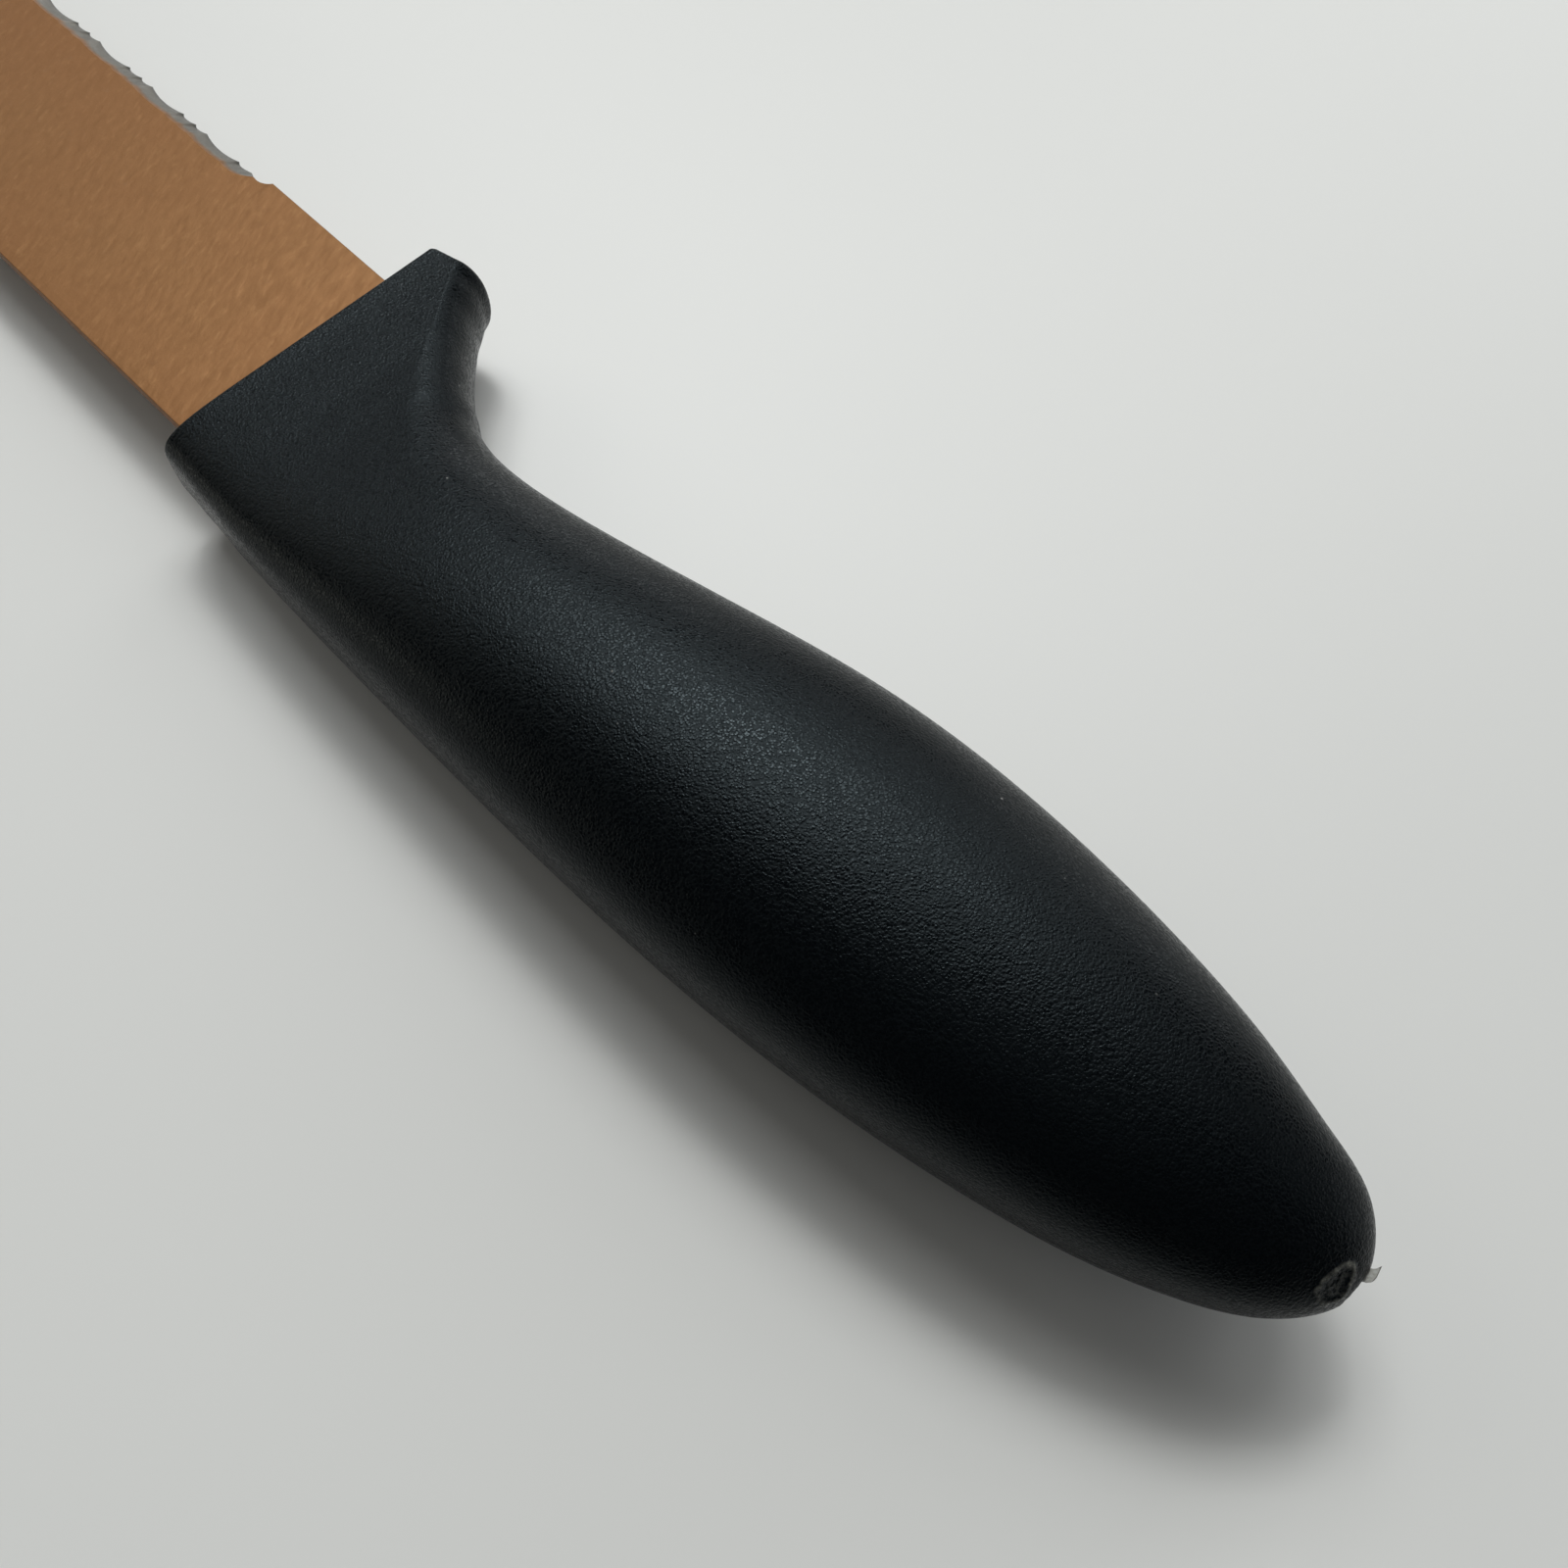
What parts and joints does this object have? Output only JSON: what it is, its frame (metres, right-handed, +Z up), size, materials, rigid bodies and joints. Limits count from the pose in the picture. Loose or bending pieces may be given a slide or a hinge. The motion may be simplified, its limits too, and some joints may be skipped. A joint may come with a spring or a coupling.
{
  "type": "serrated chef knife",
  "caption": "Kitchen knife with a coated, serrated steel blade ground on one side, and a moulded plastic handle with a finger guard, locked onto a hidden tang.",
  "frame": {"origin": "centre of the footprint of the knife lying on its side, on the surface that it lies on", "axes": "+X from the butt of the handle to the tip, level; +Y from the cutting edge to the spine; +Z up out of the ground side of the blade"},
  "size_m": [0.3262, 0.0372, 0.0233],
  "materials": {
    "coated_steel": "copper-coloured non-stick coating, fine orange-peel, on stainless steel; bare ground steel at the serrated edge",
    "handle_plastic": "black injection-moulded plastic with a fine spark-eroded grain"
  },
  "bodies": {
    "root": {"blade": "coated_steel", "handle": "handle_plastic"}
  },
  "joints": []
}
